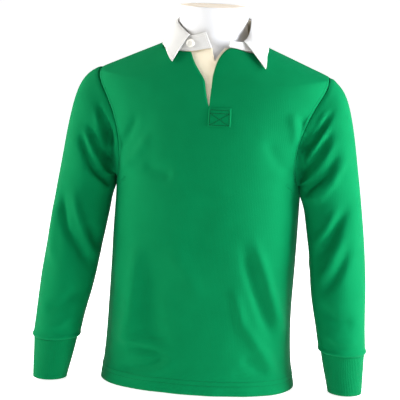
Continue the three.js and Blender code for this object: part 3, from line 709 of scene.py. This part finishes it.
# Sleeves
# One panel of the same knit each, set into the armhole and closed by a seam underneath.
# They hang empty, twisted a little, and crumple at the crook of the arm.
SLEEVE_FOLDS = {
    "right": [
        # From the sleeve's head down into the armhole's seam.
        fold(5, -8.1, (-217, 572), (-205, 544), (-196, 520), (-186, 490), ends=(0.4, 0)),
        fold(5, 5.6, (-226, 560), (-214, 530), (-204, 500), (-192, 470), ends=(0.4, 0)),
        fold(5, -8.1, (-236, 530), (-222, 503), (-208, 474), (-192, 445), ends=(0.4, 0)),
        fold(5.5, 6.2, (-243, 520), (-230, 488), (-214, 455), (-198, 425), ends=(0.4, 0)),
        fold(6, -8.1, (-250, 512), (-238, 474), (-219, 435), (-198, 405), ends=(0.3, 0)),
        fold(10, -13, (-202, 535), (-196, 500), (-194, 460), (-196, 420), ends=(0.3, 0.2)),
        # The crook of the arm.
        fold(8, -8.8, (-283, 400), (-279, 355), (-270, 315), (-238, 268), (-212, 225),
             ends=(0.3, 0.35)),
        fold(9, 7.5, (-262, 400), (-248, 345), (-226, 280), (-206, 250), ends=(0.3, 0.35)),
        fold(9, 5, (-292, 370), (-300, 300), (-296, 240)),
        fold(8, -6.2, (-226, 330), (-214, 290), (-206, 262), ends=(0.3, 0.35)),
        # Above the cuff.
        fold(10, -5, (-230, 200), (-270, 160), (-310, 150)),
        fold(7, 3.8, (-240, 140), (-280, 118), (-325, 112)),
    ],
    "left": [
        # From the armhole's seam up to the sleeve's head.
        fold(5, -8.1, (200, 500), (215, 520), (232, 548), (251, 584), ends=(0, 0.4)),
        fold(4.5, 6.2, (196, 503), (208, 526), (221, 551), (238, 580), ends=(0, 0.4)),
        fold(5, -7.5, (193, 500), (202, 515), (216, 542), (230, 572), ends=(0, 0.4)),
        fold(6, 6.2, (202, 478), (222, 510), (246, 552), ends=(0, 0.4)),
        fold(6, -6.9, (198, 450), (226, 498), (252, 545), ends=(0, 0.4)),
        fold(7, 5.6, (206, 430), (236, 478), (262, 530), ends=(0, 0.4)),
        fold(7, -6.2, (214, 410), (240, 450), (268, 505), ends=(0, 0.4)),
        fold(7, 5, (230, 400), (256, 440), (284, 500), ends=(0, 0.4)),
        # The crook of the arm.
        fold(8, -8.1, (222, 270), (248, 312), (266, 350), (293, 400), ends=(0.35, 0.35)),
        fold(8, 6.2, (218, 300), (242, 335), (272, 395), ends=(0.35, 0.35)),
        fold(9, 7.5, (232, 225), (252, 258), (268, 300), (290, 350), ends=(0.35, 0.35)),
        fold(9, -6.9, (240, 205), (272, 255), (300, 322), ends=(0.35, 0.35)),
        # Above the cuff.
        fold(10, -5, (236, 190), (275, 160), (315, 158)),
        fold(7, 3.8, (245, 135), (285, 118), (325, 116)),
    ],
}
# How far a sleeve leans in under the armhole, and at what level, in millimetres.
ARMPIT_LEAN = {
    "right": dict(level=404, wide=20, lean=7),
    "left": dict(level=410, wide=27, lean=12),
}
# Where a sleeve's middle is led to: out from the body's middle, and above its foot.
SLEEVE_HEAD = dict(out=240 * MM, above=500 * MM)


def mirrored(folds):
    return [{**row, "path": [(-x, z) for x, z in row["path"]]} for row in folds]


def sleeve_middle(side):
    """Gives a sleeve's middle at a level, from its cuff up to its head."""
    cuff_box, sleeve_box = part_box(f"cuff_{side}"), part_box(f"sleeve_{side}")
    foot = (cuff_box[0] + cuff_box[1]) / 2
    head_x = SLEEVE_HEAD["out"] * (1 if side == "left" else -1)
    head_y = (sleeve_box[0].y + sleeve_box[1].y) / 2

    def middle(z):
        t = min(max((z - foot.z) / SLEEVE_HEAD["above"], 0), 1)
        return (foot.x + t * (head_x - foot.x), foot.y + t * (head_y - foot.y))

    return middle


def hang_close(sleeve, level, wide, lean):
    """Under the armhole the sleeve's inner side hangs against the body."""
    spots, normals = points_of(sleeve)
    outward = np.sign(spots[:, 0])
    inner = ease(0.1, 0.8, -normals[:, 0] * outward)
    spots[:, 0] -= outward * lean * MM * bump_at(level, wide, spots[:, 2] / MM) * inner
    move_points(sleeve, spots)


def puff(sleeve, seams):
    """The sleeve head is eased into the armhole and the other end into the cuff, so that
    the cloth stands up beside both seams."""
    spots, normals = points_of(sleeve)
    near = distance_from(seams, spots) / MM
    at_head = ease(540 * MM, 600 * MM, spots[:, 2])
    at_cuff = 1 - ease(150 * MM, 200 * MM, spots[:, 2])
    rise = 1.2 * bump_at(8, 5.5, near) * at_head + 2.0 * bump_at(6, 4, near) * at_cuff
    move_points(sleeve, spots + normals * (rise * MM)[:, None])


for side, other in (("left", "right"), ("right", "left")):
    sleeve = wall_of(f"sleeve_{side}", f"{side}_sleeve")
    smoothed(sleeve, 2)
    seams = edge_runs(sleeve)
    lift_folds(sleeve, SLEEVE_FOLDS[side], seams=seams)
    lift_folds(sleeve, mirrored(SLEEVE_FOLDS[other]), front=False, seams=seams)
    sink_armpit(sleeve)
    seams = edge_runs(sleeve)
    hang_close(sleeve, **ARMPIT_LEAN[side])
    puff(sleeve, seams)
    seam_at(sleeve, seams)
    wrap_uv(sleeve, sleeve_middle(side), radius=50 * MM)
    thicken(sleeve, CLOTH)
    sleeve.data.materials.append(green_knit)
    stand_for(sleeve, f"sleeve_{side}", slot="green_knit")

# Cuffs
# Tubes of rib knit folded double, narrower than the sleeve, so that the sleeve gathers
# slightly into them. The ribs run lengthwise, 2 mm apart, and are drawn at 3.4 mm to show.
green_rib = knitted("green_rib_knit", "036437", "056b3d", wale=3.4 * MM, rib=0.45)
for side in ("left", "right"):
    cuff = wall_of(f"cuff_{side}", f"{side}_cuff")
    smoothed(cuff, 3)
    wrap_uv(cuff, sleeve_middle(side), radius=40 * MM)
    thicken(cuff, 2.2 * MM)
    cuff.data.materials.append(green_rib)
    stand_for(cuff, f"cuff_{side}", slot="green_rib")


# Neckband and collar
# Firm white cotton twill in two parts: an upright band sewn to the neckline, and the fall,
# which turns over at the band's top and comes down to two points. The band is cream inside.
def woven(name, dark, light, rib):
    material = new_material(name)
    cloth = add_node(material, "ShaderNodeUVMap", uv_map="cloth").outputs["UV"]
    at = add_node(material, "ShaderNodeTexCoord").outputs["Object"]
    tone, _ = mottled(material, at, dark, light, scale=40, detail=4)
    slant = {"Rotation": (0, 0, math.radians(45))}
    slanting = add_node(material, "ShaderNodeMapping", {"Vector": cloth}, slant)
    twill = add_node(
        material,
        "ShaderNodeTexWave",
        {"Vector": slanting.outputs["Vector"]},
        {"Scale": WAVE_BAND / rib, "Distortion": 0.6, "Detail": 1},
    )
    bump = add_node(
        material,
        "ShaderNodeBump",
        {"Height": twill.outputs["Fac"]},
        {"Strength": 0.3, "Distance": 0.0004},
    )
    shader = add_node(
        material,
        "ShaderNodeBsdfPrincipled",
        {"Base Color": tone, "Normal": bump.outputs["Normal"]},
        {
            "Roughness": 0.85,
            "Sheen Weight": 0.15,
            "Sheen Roughness": 0.5,
            "Specular IOR Level": 0.3,
        },
    )
    add_node(material, "ShaderNodeOutputMaterial", {"Surface": shader.outputs["BSDF"]})
    return material


# Cotton twill: matt, with fine slanting ribs 1 mm apart, drawn at 2 mm to show.
white_twill = woven("white_cotton_twill", "c9c7c2", "d1cfca", rib=2 * MM)
cream_twill = woven("cream_cotton_twill", "e6d8ba", "eee2c8", rib=2 * MM)
white_thread = thread_of("white_thread", "dedbd4")
TWILL = 1.7 * MM
NECK_MIDDLE = (0.002, 0.003)


def away_from(node, least):
    """Tells whether a spot is at least this far from a CAD node."""
    surface = surface_of(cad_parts[node].data)
    return lambda spot: surface.find_nearest(spot)[3] > least


for node, name, flat, sewn_to, cloths in (
    ("neckband", "collar_stand", (0.47, 0.035), "collar", (white_twill, cream_twill)),
    ("collar", "collar_fall", (0.44, 0.065), "neckband", (white_twill,)),
):
    part = wall_of(node, name)
    smoothed(part, 3)
    free_edges = edge_runs(part, away_from(sewn_to, 3 * MM))
    wrap_uv(part, lambda z: NECK_MIDDLE, radius=75 * MM)
    for cloth in cloths:
        part.data.materials.append(cloth)
    thicken(part, TWILL, material_offset=len(cloths) - 1)
    stand_for(part, node, slot="white_twill")
    rows = [row_beside(run, 4.5 * MM) for run in free_edges if len(run) > 3]
    stitches = sew(f"{name}_stitches", part, rows, white_thread)

# Placket
# A fly placket in cream twill: a button stand on the wearer's right flap, a facing inside
# the left flap, and a stitched box of the shirt's own cloth that closes its lower end.
SINGLE = 1.2 * MM  # one layer of cloth
UNDERLAP_FOLDS = [
    fold(4, -1.8, (-6, 667), (9, 659), (25, 664)),
    fold(4, 1.3, (-2, 656), (10, 649), (22, 655)),
]


def show_edge(piece):
    """Rolls the facing's edge out past the flap's, so that it shows as a line, which is
    widest near the neck."""
    edge = [row for run in edge_runs(piece) for row in run if row[1].x > 0.6]
    spots, _ = points_of(piece)
    near = distance_from([edge], spots)
    out = 2.6 + 2.2 * ease(640 * MM, 680 * MM, spots[:, 2])
    out *= ease(600 * MM, 630 * MM, spots[:, 2])
    spots[:, 0] -= out * MM * bump_at(0, 9 * MM, near)
    move_points(piece, spots)


underlap = wall_of("placket_underlap", "button_stand")
smoothed(underlap, 2)
lift_folds(underlap, UNDERLAP_FOLDS)
wrap_uv(underlap, lambda z: BODY_MIDDLE, radius=100 * MM)
thicken(underlap, TWILL)
underlap.data.materials.append(cream_twill)
stand_for(underlap, "placket_underlap", slot="cream_twill")

facing = wall_of("placket_facing", "flap_facing")
smoothed(facing, 2)
show_edge(facing)
wrap_uv(facing, lambda z: BODY_MIDDLE, radius=100 * MM)
thicken(facing, SINGLE)
facing.data.materials.append(cream_twill)
stand_for(facing, "placket_facing", slot="cream_twill")

end_box = wall_of("placket_box", "placket_end")
smoothed(end_box, 2)
seam_at(end_box, edge_runs(end_box), deep=0.8 * MM, wide=2 * MM)
wrap_uv(end_box, lambda z: BODY_MIDDLE, radius=150 * MM)
thicken(end_box, SINGLE)
end_box.data.materials.append(green_knit)
stand_for(end_box, "placket_box", slot="green_knit")

# It is stitched round its outline, across below its top, and from corner to corner.
INSET = 2.5 * MM
low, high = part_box("placket_box")
left, right = low.x + INSET, high.x - INSET
foot, head, bar = low.z + INSET, high.z - INSET, high.z - 9 * MM
drawn = [
    [(left, foot), (left, head), (right, head), (right, foot), (left, foot)],
    [(left, bar), (right, bar)],
    [(left, foot), (right, bar)],
    [(left, bar), (right, foot)],
]
front_y = low.y - 5 * MM
box_stitches = sew(
    "placket_stitches",
    end_box,
    [[Vector((x, front_y, z)) for x, z in line] for line in drawn],
    thread_of("dark_green_thread", "003f22"),
    pitch=4.3 * MM,
    radius=0.65 * MM,
)

# Button
# A moulded rubber shirt button with a raised rim round a dished middle, sewn on through
# four holes. It is made lying flat and then set on the band.
BUTTON = dict(
    radius=8 * MM,
    thick=2.6 * MM,
    shoulder=0.7 * MM,
    crown=0.4 * MM,
    rim=1.5 * MM,
    slope=0.9 * MM,
    dish=0.9 * MM,
    hole=0.85 * MM,
    apart=1.7 * MM,
    back=1.7 * MM,  # from the middle of the CAD button to its back
)

# Moulded rubber: off-white, satin, with a faint mottle from the mould.
rubber = new_material("ivory_rubber")
at = add_node(rubber, "ShaderNodeTexCoord").outputs["Object"]
ivory, mottle = mottled(rubber, at, "d9d5ca", "e4e0d6", scale=700, detail=3)
mould = add_node(
    rubber, "ShaderNodeBump", {"Height": mottle}, {"Strength": 0.15, "Distance": 0.0002}
)
satin = add_node(
    rubber,
    "ShaderNodeBsdfPrincipled",
    {"Base Color": ivory, "Normal": mould.outputs["Normal"]},
    {"Roughness": 0.45, "IOR": 1.5},
)
add_node(rubber, "ShaderNodeOutputMaterial", {"Surface": satin.outputs["BSDF"]})

bpy.ops.object.select_all(action="DESELECT")
bpy.ops.mesh.primitive_circle_add(vertices=48, radius=BUTTON["radius"], fill_type="NGON")
button = bpy.context.object
button.name = "rubber_button"
bpy.ops.object.mode_set(mode="EDIT")
bpy.ops.mesh.select_all(action="SELECT")
bpy.ops.mesh.extrude_region_move(TRANSFORM_OT_translate={"value": (0, 0, BUTTON["thick"])})
bpy.ops.mesh.inset(thickness=BUTTON["shoulder"])
bpy.ops.transform.translate(value=(0, 0, BUTTON["crown"]))
bpy.ops.mesh.inset(thickness=BUTTON["rim"])
bpy.ops.mesh.inset(thickness=BUTTON["slope"])
bpy.ops.transform.translate(value=(0, 0, -BUTTON["dish"]))
bpy.ops.mesh.select_all(action="SELECT")
bpy.ops.mesh.normals_make_consistent(inside=False)
bpy.ops.object.mode_set(mode="OBJECT")
finish_with(button, "BEVEL", width=0.3 * MM, segments=2, angle_limit=math.radians(20))
drills = []
for x, y in ((1, 1), (1, -1), (-1, 1), (-1, -1)):
    bpy.ops.object.select_all(action="DESELECT")
    bpy.ops.mesh.primitive_cylinder_add(
        vertices=14,
        radius=BUTTON["hole"],
        depth=12 * MM,
        location=(x * BUTTON["apart"], y * BUTTON["apart"], 0),
    )
    drills.append(bpy.context.object)
for drill in drills:
    finish_with(button, "BOOLEAN", operation="DIFFERENCE", object=drill, solver="EXACT")
only(*drills)
bpy.ops.object.delete()

cad_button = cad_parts["button"].data
middle = (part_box("button")[0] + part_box("button")[1]) / 2
outward = max(cad_button.polygons, key=lambda face: face.area).normal.copy()
if outward.y > 0:
    outward.negate()
turned = outward.to_track_quat("Z", "Y").to_matrix().to_4x4()
seat = Matrix.Translation(middle - outward * BUTTON["back"]) @ turned
button.data.transform(seat)
button.data.materials.append(rubber)
only(button)
bpy.ops.object.shade_smooth_by_angle(angle=math.radians(35))
stand_for(button, "button", slot="ivory_rubber")
across = BUTTON["apart"]
loops = [[seat @ Vector((x, y, 3 * MM)) for x in (-across, across)] for y in (-across, across)]
sew(
    "button_thread",
    button,
    loops,
    white_thread,
    pitch=4.7 * MM,
    radius=0.5 * MM,
    lift=0.3 * MM,
)

# Floor and lights
# White studio paper that runs out of sight, lit from below so that it stays white. Two large
# soft lamps stand at the sides, the stronger and slightly cooler one on the viewer's right.
paper = new_material("white_paper")
lit_paper = add_node(
    paper,
    "ShaderNodeBsdfPrincipled",
    inputs={
        "Base Color": linear("f3f3f3"),
        "Roughness": 0.9,
        "Specular IOR Level": 0.1,
        "Emission Color": linear("ffffff"),
        "Emission Strength": 0.95,
    },
)
add_node(paper, "ShaderNodeOutputMaterial", {"Surface": lit_paper.outputs["BSDF"]})
bpy.ops.object.select_all(action="DESELECT")
bpy.ops.mesh.primitive_circle_add(vertices=96, radius=30, fill_type="NGON")
floor = bpy.context.object
floor.name = "floor"
floor.data.materials.append(paper)

CHEST = Vector((0, 0, 0.4))
WHITE = (1, 1, 1)
COOL = (0.96, 1, 1.1)
for name, azimuth, elevation, far, wide, high, power, tint in (
    ("right_lamp", 84, 17, 2.2, 0.9, 1.3, 126, COOL),
    ("left_lamp", -84, 24, 2.2, 0.9, 1.2, 70, WHITE),
    ("fill_lamp", 4, 52, 2.4, 1.2, 1.2, 8, WHITE),
):
    lamp = bpy.data.lights.new(name, "AREA")
    lamp.shape = "RECTANGLE"
    lamp.size, lamp.size_y, lamp.energy, lamp.color = wide, high, power, tint
    fixture = bpy.data.objects.new(name, lamp)
    away = way_out(azimuth, elevation)
    fixture.location = CHEST + away * far
    fixture.rotation_euler = away.to_track_quat("Z", "Y").to_euler()
    bpy.context.collection.objects.link(fixture)

# The studio's walls are pale near the floor and dim above.
studio = bpy.data.worlds.new("studio")
bpy.context.scene.world = studio
studio.use_nodes = True
walls = studio.node_tree.nodes["Background"]
seen = add_node(studio, "ShaderNodeTexCoord").outputs["Generated"]
height = add_node(studio, "ShaderNodeSeparateXYZ", {"Vector": seen}).outputs["Z"]
dusk = add_node(
    studio,
    "ShaderNodeMapRange",
    {"Value": height},
    {"From Min": 0.0, "From Max": 0.14, "To Min": 1.0, "To Max": 0.06},
)
studio.node_tree.links.new(dusk.outputs["Result"], walls.inputs["Strength"])
walls.inputs["Color"].default_value = linear("ffffff")
bpy.context.scene.view_settings.view_transform = "Standard"
